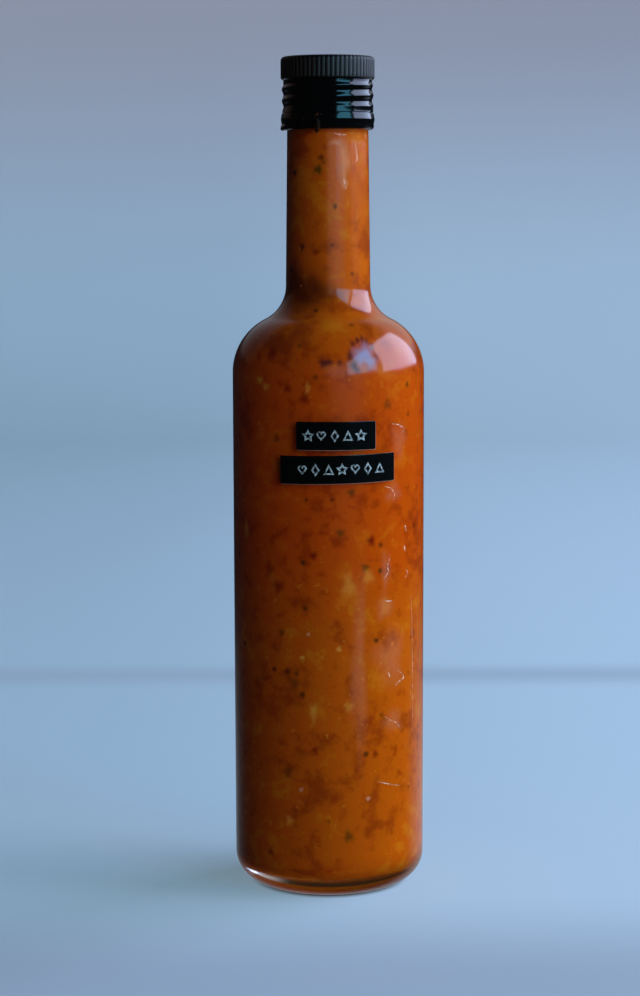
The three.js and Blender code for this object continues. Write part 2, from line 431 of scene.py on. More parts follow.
def share_of(tree, *spans):
    """Share where every span holds. A span is a value, where its own share is 0 and where that is 1."""
    share = 1.0
    for value, start, end in spans:
        inputs = {"Value": value, "From Min": start, "From Max": end}
        part = add(tree, "ShaderNodeMapRange", inputs, interpolation_type="SMOOTHSTEP").outputs["Result"]
        share = add(tree, "ShaderNodeMath", {0: share, 1: part}, operation="MULTIPLY").outputs[0]
    return share


def toned(tree, base, tone, *spans, blend="MIX"):
    """The base colour, changed to a tone where every span holds.

    Sockets 6 and 7 are the node's colour inputs, and output 2 its colour.
    """
    inputs = {0: share_of(tree, *spans), 6: base, 7: tone}
    return add(tree, "ShaderNodeMix", inputs, data_type="RGBA", blend_type=blend).outputs[2]


def soda_lime_glass():
    """Moulded soda-lime glass: clear, IOR 1.52, with the faint swell of a blown wall.

    The swell is 28 mm wide and bends the highlights, handling softens them a little, and the stippling
    under the base scatters what is seen through it.
    """
    material = new_material("moulded_soda_lime_glass")
    tree = material.node_tree
    place = add(tree, "ShaderNodeTexCoord").outputs["Object"]
    axes = axes_of(tree, place)
    swell = add(tree, "ShaderNodeTexNoise", {"Vector": place, "Scale": 1 / (28 * MM), "Detail": 1.0})
    relief = {"Height": swell.outputs["Fac"], "Distance": 0.06 * MM, "Strength": 1.0}
    bump = add(tree, "ShaderNodeBump", relief)
    stippled = share_of(tree, (axes["reach"], 25 * MM, 23 * MM), (axes["Z"], 5 * MM, 4 * MM))
    dullness = add(tree, "ShaderNodeMapRange", {"Value": stippled, "To Min": 0.14, "To Max": 0.6})
    inputs = {
        "Base Color": linear("FBFDFC"),
        "Roughness": dullness.outputs[0],
        "IOR": 1.52,
        "Transmission Weight": 1.0,
        "Normal": bump.outputs["Normal"],
    }
    return surfaced(material, inputs)


def pulp_noise(tree, place, width, seed):
    """Blots about as wide as given. The seed moves them apart from the other blots."""
    away = (seed * MM * 3, seed * MM * 5, seed * MM * 7)
    moved = add(tree, "ShaderNodeVectorMath", {0: place, 1: away}, operation="ADD")
    inputs = {"Vector": moved.outputs[0], "Scale": 1 / width, "Detail": 2.0, "Roughness": 0.55}
    return add(tree, "ShaderNodeTexNoise", inputs).outputs["Fac"]


def ketchup_pulp(fill):
    """Cooked fruit ketchup pressed against glass: orange-brown pulp in soft blots, with no shine of its own.

    The blots are 15, 4.5 and 1.3 mm wide. Red skins, yellow flesh and dark seeds lie among them, and the
    pulp is redder in the upper half of the body. The painted tint holds the larger listed bits, and also
    painted shade at the root of the neck and painted reflections of the window on air pockets and the neck.
    """
    material = new_material("cooked_ketchup_pulp")
    tree = material.node_tree
    place = add(tree, "ShaderNodeTexCoord").outputs["Object"]
    axes = add(tree, "ShaderNodeSeparateXYZ", {0: place}).outputs
    blots = 0.0
    for width, seed, weight in ((15 * MM, 0, 1.4), (4.5 * MM, 11, 1.0), (1.3 * MM, 23, 0.35)):
        more = {0: pulp_noise(tree, place, width, seed), 1: weight, 2: blots}
        blots = add(tree, "ShaderNodeMath", more, operation="MULTIPLY_ADD").outputs[0]
    tones = [(0.0, fill.shade), (0.45, fill.pulp), (0.75, fill.pulp), (1.0, fill.pale)]
    pulp = add(
        tree,
        "ShaderNodeValToRGB",
        {"Fac": share_of(tree, (blots, 0.95, 1.8))},
        stops=[(share, (*tone, 1)) for share, tone in tones],
    )
    skins = (pulp_noise(tree, place, 6 * MM, 37), 0.66, 0.86)
    flesh = (pulp_noise(tree, place, 2.6 * MM, 51), 0.66, 0.76)
    layer = [(axes["Z"], 85 * MM, 125 * MM), (axes["Z"], 200 * MM, 170 * MM)]
    cells = add(tree, "ShaderNodeTexVoronoi", {"Vector": place, "Scale": 1 / (12 * MM), "Randomness": 1.0})
    red = toned(tree, pulp.outputs["Color"], linear("983208"), skins)
    yellow = toned(tree, red, linear("BE721C"), flesh)
    redder = toned(tree, yellow, (1.0, 0.72, 0.5, 1.0), *layer, blend="MULTIPLY")
    seeded = toned(tree, redder, linear("5E2E08"), (cells.outputs["Distance"], 0.12, 0.02))
    # The painted tint: bits, painted shade at the neck's root and painted reflections of the window
    painted = add(tree, "ShaderNodeAttribute", attribute_name="pulp_tint").outputs
    bits = {0: painted["Alpha"], 6: seeded, 7: painted["Color"]}
    inputs = {
        "Base Color": add(tree, "ShaderNodeMix", bits, data_type="RGBA").outputs[2],
        "Roughness": 0.6,
        "IOR": 1.38,
        "Specular IOR Level": 0.0,
        "Subsurface Weight": 0.85,
        "Subsurface Radius": (1.0, 0.3, 0.08),
        "Subsurface Scale": 2.2 * MM,
    }
    return surfaced(material, inputs)


WORN_AND_SHEEN_FROM = 0.3 * MM
WORN_AND_SHEEN_RISE = 0.12 * MM


def black_lacquer(cap):
    """Black stoving lacquer on rolled aluminium: glossy and near-black, dull on the ribbed head and grey on
    the rib crests, where worn lacquer and a painted sheen share one tone.
    """
    material = new_material("black_stoving_lacquer")
    tree = material.node_tree
    axes = axes_of(tree, add(tree, "ShaderNodeTexCoord").outputs["Object"])
    valley = cap.radius - cap.rib_depth
    head = (axes["Z"], cap.rib_bottom - WORN_AND_SHEEN_FROM, cap.rib_bottom + WORN_AND_SHEEN_FROM)
    crest = (axes["reach"], valley, valley + WORN_AND_SHEEN_RISE)
    dullness = add(
        tree, "ShaderNodeMapRange", {"Value": share_of(tree, head), "To Min": 0.12, "To Max": 0.5}
    )
    inputs = {
        # Grey on the rib crests: worn lacquer and a painted sheen
        "Base Color": toned(tree, linear("040506"), linear("232322"), head, crest),
        "Roughness": dullness.outputs[0],
        "IOR": 1.5,
    }
    return surfaced(material, inputs)


def vinyl_tape():
    """Black PVC embossing tape: calendered and glossy, a little softer in its shine than the lacquer."""
    return plain("black_pvc_tape", "040606", 0.2, 1.5)


def stressed_vinyl():
    """PVC whitened where the embosser stretched it: pale, dull and uneven along each line."""
    stops = [(0.36, "3C4E58"), (0.58, "9FB6C2")]
    return flecked("stress_whitened_pvc", 0.9 * MM, 2.0, stops, {"Roughness": 0.45, "IOR": 1.53})


def dried_ketchup():
    """Ketchup dried in air: dark brown skin with hardly any shine, and tan crumbs."""
    stops = [(0.45, "0E0603"), (0.58, "241008"), (0.7, "54361E")]
    surface = {"Roughness": 0.75, "Specular IOR Level": 0.1}
    return flecked("dried_ketchup_crust", 1.3 * MM, 3.0, stops, surface)


def air_edge_glints():
    """Painted glints at the edges of air trapped between pulp and glass: pale pink points of painted
    highlight.
    """
    stops = [(0.42, "AE5E2C"), (0.6, "E8BCA4")]
    return flecked("painted_glint_at_air_edges", 0.9 * MM, 1.0, stops, {"Roughness": 0.3, "IOR": 1.45})


def studio_paper():
    """Matt grey-blue studio paper lit partly by a painted glow of its own, paler to the right and greyer up
    the sweep.

    The glow is painted light. It darkens towards the camera and along the line where the table would
    meet the wall, and a painted shadow makes the paper brown under the bottle, as light reaches it there
    only through the ketchup.
    """
    material = new_material("matt_studio_paper")
    tree = material.node_tree
    axes = axes_of(tree, add(tree, "ShaderNodeTexCoord").outputs["Object"])
    # The glow is painted light: paler to the right, with painted shade up the sweep, towards the camera and
    # along the table's line
    across = toned(tree, PAPER_GLOW_LEFT, PAPER_GLOW_RIGHT, (axes["X"], *PAPER_ACROSS))
    upper = toned(tree, across, PAPER_TOP_SHADE, (axes["Z"], *PAPER_UP))
    nearer = toned(tree, upper, PAPER_FRONT_SHADE, (axes["Y"], *PAPER_NEAR))
    line = [(axes["Y"], TABLE_LINE - width, TABLE_LINE) for width in LINE_WIDTHS]
    ruled = toned(tree, nearer, PAPER_LINE_SHADE, *line)
    # Painted shadow under the bottle, in the paper's colour and in its glow
    under = (axes["reach"], *PAPER_SHADOW_REACH)
    inputs = {
        "Base Color": toned(tree, linear("A8B8C7"), linear("2A2014"), under),
        "Roughness": 0.7,
        "Specular IOR Level": 0.1,
        "Emission Color": toned(tree, ruled, PAPER_SHADOW_UNDER, under),
        "Emission Strength": 1.0,
    }
    return surfaced(material, inputs)


# Outlines of the bottle

DOME_STEPS = 12
HEEL_STEPS = 24
SHOULDER_STEPS = 28
WALL_ROWS = 24
NECK_ROWS = (12, 16)
LIP_STEPS = 6
FINISH_STEP = 1 * MM


def dome(radius, base, rise, power):
    """(radius, height) points from the middle of a dome to just inside its edge."""
    shares = [i / DOME_STEPS for i in range(DOME_STEPS)]
    return [(radius * share, base + rise * (1 - share**2) ** power) for share in shares]


def shoulder_turn(sizes):
    centre = sizes.body_radius - sizes.shoulder_radius
    span = sizes.shoulder_radius + sizes.neck_fillet
    return math.acos((sizes.neck_root + sizes.neck_fillet - centre) / span)


def fillet_height(sizes):
    span = sizes.shoulder_radius + sizes.neck_fillet
    return sizes.shoulder_height + span * math.sin(shoulder_turn(sizes))


def shoulder_outline(sizes, inset, steps):
    """Shoulder and neck root, moved in from the outside of the glass by an inset."""
    turn = shoulder_turn(sizes)
    shoulder = arc(
        sizes.body_radius - sizes.shoulder_radius,
        sizes.shoulder_height,
        sizes.shoulder_radius - inset,
        0,
        turn,
        steps,
    )
    root = arc(
        sizes.neck_root + sizes.neck_fillet,
        fillet_height(sizes),
        sizes.neck_fillet + inset,
        math.pi + turn,
        math.pi,
        steps,
    )
    return shoulder + root[1:]


def neck_radius(sizes, height):
    bottom = fillet_height(sizes)
    share = (height - bottom) / (sizes.finish_height - bottom)
    return sizes.neck_root + (sizes.neck_top - sizes.neck_root) * share


def hollow_outline(sizes, inset, top, wall_rows, arc_steps, neck_rows):
    """The hollow, from the middle of its floor up to a height in the neck."""
    depth = sizes.wall + inset
    corner = sizes.floor_corner - inset
    corner_radius = sizes.body_radius - depth - corner
    floor = sizes.floor + inset
    crown = dome(corner_radius, floor, sizes.floor_crown, 2)
    heel = arc(corner_radius, floor + corner, corner, -math.pi / 2, 0, arc_steps)
    shoulder = shoulder_outline(sizes, depth, arc_steps)
    wall = rows(heel[-1], shoulder[0], wall_rows)[:-1]
    neck = rows(shoulder[-1], (neck_radius(sizes, top) - depth, top), neck_rows)
    return crown + heel + wall + shoulder + neck


class BOTTLE_OT_glass(bpy.types.Operator):
    """Blown bottle: hollow base, round heel, straight wall, round shoulder and a long neck"""

    bl_idname = "bottle.glass"
    bl_label = "Glass bottle"

    def execute(self, context):
        sizes = context.scene.bottle_glass
        bearing_outer = sizes.body_radius - sizes.heel_radius
        bearing_inner = bearing_outer - sizes.bearing_width
        punt = dome(bearing_inner, 0, sizes.punt_rise, 1.5)
        heel = arc(bearing_outer, sizes.heel_radius, sizes.heel_radius, -math.pi / 2, 0, HEEL_STEPS)
        shoulder = shoulder_outline(sizes, 0, SHOULDER_STEPS)
        wall = rows(heel[-1], shoulder[0], WALL_ROWS)[:-1]
        neck = rows(shoulder[-1], (sizes.neck_top, sizes.finish_height), NECK_ROWS[0])
        lip = arc(
            sizes.finish_radius - sizes.lip_round,
            sizes.lip_height - sizes.lip_round,
            sizes.lip_round,
            0,
            math.pi / 2,
            LIP_STEPS,
        )
        outside = punt + [(bearing_inner, 0)] + heel + wall + shoulder + neck
        outside += [(sizes.finish_radius, sizes.finish_height + FINISH_STEP)] + lip
        inner_top = sizes.lip_height - sizes.lip_round
        inside = hollow_outline(sizes, 0, inner_top, WALL_ROWS, SHOULDER_STEPS, NECK_ROWS[1])
        lip_inner = (inside[-1][0] + sizes.lip_round, sizes.lip_height)
        piece = turned("glass_bottle", outside + [lip_inner] + inside[::-1], even_turn(sizes.columns))
        piece.visible_shadow = False
        piece.visible_diffuse = False
        finished(piece, soda_lime_glass(), "clear_glass", "bottle_glass")
        return {"FINISHED"}


# Bits in the pulp, with painted shade and painted reflections, by colour:
# turn in degrees, height and radius in mm, stretch upwards and strength
PULP_BITS_AND_PAINTED_LIGHT = {
    # Painted shade at the root of the neck, on its left
    "4A1A04": [(-36, 204, 7, 0.9, 0.7), (-14, 203, 4.5, 0.8, 0.5), (-62, 206, 5, 1, 0.6)],
    "2A1206": [
        (-11, 248, 0.8, 1, 0.8), (-62, 243, 0.8, 1, 0.9), (11, 232, 0.7, 1.2, 0.9),
        (-44, 218.5, 0.8, 1.3, 0.8), (6, 219, 0.7, 0.7, 0.7), (-34, 156, 1, 1.2, 0.7),
        (-27, 78, 1, 1, 0.8), (-21, 77.5, 0.8, 1, 0.7), (-17, 70.5, 0.8, 1.2, 0.9),
        (-31, 91, 0.9, 1.1, 0.8), (66, 125, 0.7, 1.2, 0.7), (-14, 136, 0.6, 1, 0.9),
        (2, 136, 0.5, 1, 0.9),
    ],
    "3A3008": [
        (-16, 244, 1.3, 1, 0.9), (14, 138.5, 1, 1, 0.8), (7, 125, 1.2, 1, 0.7), (23, 113, 1.1, 1, 0.8),
        (12, 22, 1.4, 1.2, 0.7), (39, 167, 1.3, 1.1, 0.6), (57, 173, 0.7, 1.3, 0.8),
        (-27, 43.5, 1.3, 1.3, 0.6), (-22, 74, 1.6, 1.2, 0.5),
    ],
    "6E1204": [
        (-19, 217, 0.9, 0.9, 0.8), (-40, 183.5, 1.5, 0.9, 0.8), (-26, 172.5, 1.1, 0.9, 0.9),
        (-15, 169.5, 1.3, 1.3, 0.8), (27, 122, 1.2, 1.3, 0.9), (-10, 117.5, 1.3, 0.8, 0.9),
        (-33, 106.5, 1.7, 1, 0.8), (-40, 112, 1.4, 1.6, 0.7), (30, 49.5, 0.9, 1.2, 0.8),
        (-40, 15, 1.1, 1, 0.8), (-9, 52, 0.9, 1, 0.8), (39, 111.5, 0.8, 1.6, 0.6),
    ],
    "3E1420": [
        (-3, 181, 1.5, 0.8, 0.85), (1, 181, 0.9, 0.7, 0.8), (7, 181, 0.9, 0.9, 0.85),
        (14, 183, 1, 1.6, 0.8), (16, 180, 1.2, 1, 0.9), (18, 178.5, 1, 0.8, 0.8),
        (17, 186.5, 0.8, 1.3, 0.7), (21, 187.5, 0.5, 2.4, 0.8), (25, 188, 0.5, 2.6, 0.8),
        (28, 187, 0.5, 2.2, 0.8), (31, 185.5, 0.6, 1.8, 0.8), (32, 182.5, 0.7, 1, 0.7),
    ],
    "D8A040": [
        (-47, 175, 1.2, 0.8, 0.7), (-42, 173, 1.2, 0.8, 0.6), (-13, 173, 0.7, 2.2, 0.6),
        (12, 107.5, 1.8, 1.8, 0.4), (6, 86, 0.7, 1.1, 0.8), (-17, 83, 0.7, 0.8, 0.9),
        (-10, 64.5, 1, 2.6, 0.5), (12, 66.5, 1.4, 1, 0.4), (-26, 27, 1, 1.4, 0.6),
        (25, 110, 1.6, 1.2, 0.4), (-62, 124, 1.2, 2, 0.5),
    ],
    # Pale seeds, and near the top of the neck (the last three) a painted pink reflection of the window
    "D8A078": [
        (-13, 91, 0.5, 1.1, 0.9), (-18, 38, 0.6, 1, 0.8), (25, 34.5, 0.6, 1, 0.8),
        (27, 247, 1.5, 4, 0.45), (28, 239.5, 0.9, 1.4, 0.4), (11, 253, 1.3, 0.6, 0.4),
    ],
    # Painted reflections of the window: pale pink patches where air pockets lie on the lit right
    "C07A58": [
        (19, 78.5, 2, 11, 0.3), (42, 82, 4.5, 1.6, 0.3), (49, 155, 2.6, 1.6, 0.3),
        (38, 112, 1.5, 3, 0.35), (37, 99, 2.5, 1.2, 0.3), (44, 137.5, 2.5, 1, 0.3), (44, 60, 3, 1, 0.3),
    ],
    # Painted reflection of the front window, lavender, on an air pocket on the shoulder
    "8C8AB4": [(24, 183.5, 2.6, 1, 0.75), (20, 182, 1.6, 0.9, 0.6), (28, 181, 1.8, 0.8, 0.5)],
}
# Edges of the air pockets, drawn as thin pale pink beads of painted highlight, each a half width in mm
# and a line of turns in degrees and heights in mm
AIR_EDGES = [
    (0.14, [(42, 160.5), (48, 160), (54, 158.5), (52, 157)]),
    (0.12, [(36, 140), (42, 139), (45, 137), (44, 135)]),
    (0.3, [(55, 126), (56, 123.5)]),
    (0.3, [(54, 119), (55, 117)]),
    (0.12, [(56, 111), (58, 109.5), (55, 108)]),
    (0.16, [(41, 115.5), (39, 113), (40, 111), (36, 108.5)]),
    (0.18, [(36, 101.5), (40, 101), (43, 101)]),
    (0.2, [(48, 77), (53, 75), (54, 74), (49, 73), (47, 72.5), (45, 71)]),
    (0.2, [(40, 77), (41, 75)]),
    (0.09, [(62, 102.5), (63, 93), (64, 79), (64, 54)]),
    (0.14, [(37, 62), (41, 60.5), (47, 59), (50, 57)]),
    (0.14, [(31, 40), (37, 39), (43, 38), (50, 37)]),
    (0.2, [(48, 253), (51, 250.5), (53, 248), (50, 246)]),
    (0.2, [(63, 244), (65, 242)]),
    (0.16, [(25, 241), (28, 239.5), (30, 237.5)]),
    (0.14, [(77, 256), (81, 254)]),
    (0.18, [(10, 256), (20, 255.5), (31, 255.5)]),
]
SPOT_SOFTNESS = 0.85
FRONT_SPREAD = math.radians(105)
PULP_WALL_ROWS = 210
PULP_ARC_STEPS = 22
PULP_NECK_ROWS = 80
AIR_RISE = 0.05 * MM
AIR_STEPS = 24
# Bits scattered over the body: their kind, colour, number, smallest and largest radius in mm
SCATTERED_BITS = [
    ("skin", "983A0C", 34, 0.18, 0.45),
    ("herb", "744C12", 14, 0.15, 0.4),
    ("flesh", "C67C2A", 30, 0.12, 0.34),
]
BITS_BOTTOM = 12 * MM
BITS_TOP = 256 * MM
NECK_SHARE = 0.25


def on_outline(turn, height, radius):
    return np.array([radius * math.sin(turn), -radius * math.cos(turn), height])


def radius_finder(outline):
    """Radius of the hollow at a height above its floor."""
    radii, heights = zip(*outline[DOME_STEPS:])
    return lambda height: float(np.interp(height, heights, radii))


def paint_bits_and_light(mesh, radius_at):
    """Soft spots of colour with ragged edges on the vertices round each listed spot, in the attribute
    pulp_tint:
    bits, painted shade and painted reflections.
    """
    count = len(mesh.vertices)
    places = np.empty(count * 3)
    mesh.vertices.foreach_get("co", places)
    places = places.reshape(-1, 3)
    tint = np.zeros((count, 4))
    seed = 0
    for code, bits in PULP_BITS_AND_PAINTED_LIGHT.items():
        for turn, height, size, stretch, strength in bits:
            seed += 1
            turn, height, size = math.radians(turn), height * MM, size * MM
            away = places - on_outline(turn, height, radius_at(height))
            across = away @ np.array([math.cos(turn), math.sin(turn), 0])
            along = np.sqrt(np.maximum(0, (away**2).sum(1) - across**2)) * np.sign(away[:, 2]) / stretch
            angle = np.arctan2(along, across)
            edge = size * (1 + 0.2 * np.sin(3 * angle + seed) + 0.15 * np.sin(5 * angle + 2.3 * seed))
            gap = (edge - np.hypot(across, along)) / (size * SPOT_SOFTNESS)
            share = np.clip(gap * 0.5 + 0.5, 0, 1)
            share = strength * share**2 * (3 - 2 * share)
            kept = tint[:, 3] * (1 - share)
            total = np.maximum(share + kept, 1e-9)
            bit = np.array(linear(code)[:3])
            tint[:, :3] = (tint[:, :3] * kept[:, None] + bit * share[:, None]) / total[:, None]
            tint[:, 3] = share + kept
    mesh.color_attributes.new("pulp_tint", "FLOAT_COLOR", "POINT").data.foreach_set("color", tint.ravel())


def air_edge(name, half_width, line, radius_at):
    """Thin rounded bead that follows a line on the ketchup and tapers to both ends."""
    line = np.array([(math.radians(turn), height * MM) for turn, height in line])
    steps = np.linspace(0, 1, AIR_STEPS)
    knots = np.linspace(0, 1, len(line))
    turns = np.interp(steps, knots, line[:, 0])
    heights = np.interp(steps, knots, line[:, 1])
    section = [(-1, 0), (-0.6, 0.8), (0, 1), (0.6, 0.8), (1, 0), (0.6, -0.8), (-0.6, -0.8)]
    vertices = []
    for i, (turn, height) in enumerate(zip(turns, heights)):
        near = slice(max(0, i - 2), i + 3)
        radius = radius_at(height)
        run = (turns[near][-1] - turns[near][0]) * radius
        climb = heights[near][-1] - heights[near][0]
        reach = math.hypot(run, climb)
        width = half_width * MM * (0.08 + math.sin(math.pi * (i + 0.3) / (AIR_STEPS - 0.4)) ** 0.7)
        width *= 1 + 0.3 * math.sin(1.9 * i + 40 * half_width)
        for side, rise in section:
            at_turn = turn - climb / reach * side * width / radius
            at_height = height + run / reach * side * width
            vertices.append(on_outline(at_turn, at_height, radius_at(at_height) + rise * AIR_RISE))
    return swept(name, vertices, len(section), sharp=math.pi)


def bit_tree():
    """Flat bits scattered over a band of the bottle, with their own sizes and turns."""
    tree = new_tree(
        "scattered_bits",
        Count=("NodeSocketInt", 100),
        From_angle=("NodeSocketFloat", -math.pi),
        To_angle=("NodeSocketFloat", math.pi),
        Low=("NodeSocketFloat", 12 * MM),
        High=("NodeSocketFloat", 170 * MM),
        Low_radius=("NodeSocketFloat", 30 * MM),
        High_radius=("NodeSocketFloat", 30 * MM),
        Smallest=("NodeSocketFloat", 0.2 * MM),
        Largest=("NodeSocketFloat", 0.5 * MM),
        Thickness=("NodeSocketFloat", 0.05 * MM),
        Seed=("NodeSocketInt", 1),
        Material=("NodeSocketMaterial", None),
    )
    given = add(tree, "NodeGroupInput").outputs
    line = add(tree, "GeometryNodeMeshLine", {"Count": given["Count"]})

    def chance(low, high, salt):
        seed = add(tree, "ShaderNodeMath", {0: given["Seed"], 1: salt}, operation="ADD").outputs[0]
        inputs = {"Min": low, "Max": high, "Seed": seed}
        return add(tree, "FunctionNodeRandomValue", inputs, data_type="FLOAT").outputs["Value"]

    turn = chance(given["From angle"], given["To angle"], 0)
    level = chance(0.0, 1.0, 100)
    heights = {"Value": level, "To Min": given["Low"], "To Max": given["High"]}
    height = add(tree, "ShaderNodeMapRange", heights).outputs[0]
    radii = {"Value": level, "To Min": given["Low radius"], "To Max": given["High radius"]}
    radius = add(tree, "ShaderNodeMapRange", radii).outputs[0]
    place = on_cylinder(tree, turn, radius, height)
    spread = add(tree, "GeometryNodeSetPosition", {"Geometry": line.outputs[0], "Position": place})
    facing = add(tree, "ShaderNodeCombineXYZ", {1: chance(0.0, math.pi, 200), 2: turn})
    wide = chance(given["Smallest"], given["Largest"], 300)
    tall = chance(given["Smallest"], given["Largest"], 400)
    scale = add(tree, "ShaderNodeCombineXYZ", {0: wide, 1: given["Thickness"], 2: tall})
    ball = add(tree, "GeometryNodeMeshIcoSphere", {"Radius": 1.0, "Subdivisions": 2})
    copies = {
        "Points": spread.outputs[0],
        "Instance": ball.outputs[0],
        "Rotation": facing.outputs[0],
        "Scale": scale.outputs[0],
    }
    return planted(tree, copies, given["Material"])


class BOTTLE_OT_ketchup(bpy.types.Operator):
    """Ketchup pressed against the glass up to its level, with its bits and air pockets"""

    bl_idname = "bottle.ketchup"
    bl_label = "Ketchup"

    def execute(self, context):
        sizes = context.scene.bottle_glass
        fill = context.scene.bottle_ketchup
        steps = (PULP_WALL_ROWS, PULP_ARC_STEPS, PULP_NECK_ROWS)
        outline = hollow_outline(sizes, -fill.contact, fill.level, *steps)
        radius_at = radius_finder(outline)
        front = np.linspace(-FRONT_SPREAD, FRONT_SPREAD, fill.front_columns)
        back = np.linspace(FRONT_SPREAD, FULL_TURN - FRONT_SPREAD, fill.back_columns + 2)[1:-1]
        piece = turned("ketchup_fill", outline + [(0, fill.level)], np.concatenate([front, back]))
        paint_bits_and_light(piece.data, radius_at)
        finished(piece, ketchup_pulp(fill), "ketchup_pulp", "ketchup")
        edges = [
            air_edge(f"air_edge_{i}", width, line, radius_at) for i, (width, line) in enumerate(AIR_EDGES)
        ]
        finished(joined("air_pocket_edges", *edges), air_edge_glints(), "ketchup_pulp")
        self.scatter(sizes, fill, radius_at)
        return {"FINISHED"}

    def scatter(self, sizes, fill, radius_at):
        """Small bits of skin, herb and flesh all round the body and the neck."""
        tree = bit_tree()
        bands = [
            ("body", BITS_BOTTOM, sizes.shoulder_height, 1.0),
            ("neck", fillet_height(sizes), BITS_TOP, NECK_SHARE),
        ]
        for i, (kind, code, count, small, large) in enumerate(SCATTERED_BITS):
            material = plain(f"{kind}_bits", code, 0.7, 1.38)
            for j, (band, low, high, share) in enumerate(bands):
                bits = grown(
                    f"{kind}_bits_{band}",
                    tree,
                    Count=round(count * share),
                    Low=low,
                    High=high,
                    Low_radius=radius_at(low),
                    High_radius=radius_at(high),
                    Smallest=small * MM,
                    Largest=large * MM,
                    Seed=10 * i + j,
                    Material=material,
                )
                finished(bits, material, "ketchup_pulp")


SKIRT_ROWS = 36
EDGE_STEPS = 10
TOP_ROWS = 6
SKIRT_GAP = 0.4 * MM
THREAD_FADE = 1.2 * MM
THREAD_START = 0.2
THREAD_OUTSIDE = 0.1 * MM
# Lower round of the head, as steps inwards and upwards in mm
HEAD_ROUND = [(0.15, -0.1), (0, 0.2)]
# Start of a rib: heights above the head's lower end in mm, and shares of the rib's depth
RIB_START = [(0.15, 0.0), (0.4, 0.8)]
RIB_FULL = 0.8 * MM
RIB_STEPS = 8
RIB_LEAN = 80
RIB_CLEAR = 0.01 * MM


def thread_rule(cap):
    """Adds the rolled right-hand thread to the vertices of the skirt's outside."""

    def rule(angles, radii, heights):
        turns = (heights - cap.thread_phase) / cap.thread_pitch - angles / FULL_TURN
        wave = 0.5 + 0.5 * np.cos(turns * FULL_TURN)
        fade = np.clip((cap.thread_top - heights) / THREAD_FADE, 0, 1)
        start = np.clip((heights - cap.bottom) / cap.flare_height - THREAD_START, 0, 1)
        outside = (radii > cap.bore + THREAD_OUTSIDE) & (heights < cap.thread_top)
        return radii + np.where(outside, cap.thread_depth * wave * fade * start, 0), heights

    return rule


def rib_tree(material):
    """One rib repeated round the cap's head."""
    tree = new_tree("cap_ribs", Ribs=("NodeSocketInt", 63), Rib=("NodeSocketObject", None))
    given = add(tree, "NodeGroupInput").outputs
    line = add(tree, "GeometryNodeMeshLine", {"Count": given["Ribs"], "Offset": (0.0, 0.0, 0.0)})
    index = add(tree, "GeometryNodeInputIndex").outputs[0]
    step = add(tree, "ShaderNodeMath", {0: FULL_TURN, 1: given["Ribs"]}, operation="DIVIDE")
    turn = add(tree, "ShaderNodeMath", {0: index, 1: step.outputs[0]}, operation="MULTIPLY")
    facing = add(tree, "ShaderNodeCombineXYZ", {2: turn.outputs[0]})
    shape = add(tree, "GeometryNodeObjectInfo", {"Object": given["Rib"]})
    copies = {
        "Points": line.outputs[0],
        "Instance": shape.outputs["Geometry"],
        "Rotation": facing.outputs[0],
    }
    return planted(tree, copies, material)


def cap_rib(cap):
    """Rib at the front: a low rounded bar up the head and over its rounded edge, where it fades."""
    valley = cap.radius - cap.rib_depth
    edge = cap.edge_round
    path = [(valley, cap.rib_bottom + rise * MM, 0.0, share) for rise, share in RIB_START]
    upright = np.linspace(cap.rib_bottom + RIB_FULL, cap.top - edge, RIB_STEPS)
    path += [(valley, height, 0.0, 1.0) for height in upright]
    for i in range(1, RIB_STEPS + 1):
        lean = math.radians(RIB_LEAN) * i / RIB_STEPS
        share = math.cos(lean * 90 / RIB_LEAN) ** 0.7 if i < RIB_STEPS else 0.0
        out = valley - edge + edge * math.cos(lean)
        up = cap.top - edge + edge * math.sin(lean)
        path.append((out, up, lean, share))
    section = [(side, 1 - (2 * side) ** 2) for side in np.linspace(-0.5, 0.5, RIB_STEPS + 1)]
    section += [(0.4, -0.5), (-0.4, -0.5)]
    vertices = []
    for out, up, lean, share in path:
        for side, rise in section:
            lift = rise * cap.rib_depth if rise < 0 else rise * cap.rib_depth * share + RIB_CLEAR
            r, z = out + lift * math.cos(lean), up + lift * math.sin(lean)
            vertices.append((side * cap.rib_width, -r, z))
    return swept("rib_shape", vertices, len(section))


class BOTTLE_OT_cap(bpy.types.Operator):
    """Roll-on cap: ribbed head with a rounded edge, rolled thread and flared lower edge"""

    bl_idname = "bottle.cap"
    bl_label = "Screw cap"

    def execute(self, context):
        cap = context.scene.bottle_cap
        lacquer = black_lacquer(cap)
        valley = cap.radius - cap.rib_depth
        edge = cap.edge_round
        flare_top = cap.bottom + cap.flare_height
        liner_height = cap.top - cap.liner
        lip = cap.bore + cap.lip_sheet
        lip_bottom = cap.bottom - cap.lip_drop
        outline = [(0, liner_height), (cap.bore, liner_height)]
        outline += [(cap.bore, lip_bottom), (lip, lip_bottom), (lip, cap.bottom)]
        outline += [(cap.flare_radius, cap.bottom), (cap.thread_root, flare_top)]
        skirt_top = (cap.thread_root, cap.rib_bottom - SKIRT_GAP)
        outline += rows(outline[-1], skirt_top, SKIRT_ROWS)
        outline += [(valley - inset * MM, cap.rib_bottom + rise * MM) for inset, rise in HEAD_ROUND]
        head = arc(valley - edge, cap.top - edge, edge, 0, math.pi / 2, EDGE_STEPS)
        outline += head + rows(head[-1], (0, cap.top), TOP_ROWS)
        shell = turned("shell", outline, even_turn(cap.columns), thread_rule(cap))
        rib = cap_rib(cap)
        ribs = grown("ribs", rib_tree(lacquer), Ribs=cap.rib_count, Rib=rib)
        discard(rib)
        finished(joined("cap_shell", shell, ribs), lacquer, "black_lacquer", "screw_cap")
        return {"FINISHED"}


RING_COLUMNS = 240
RING_WALL = 0.35 * MM
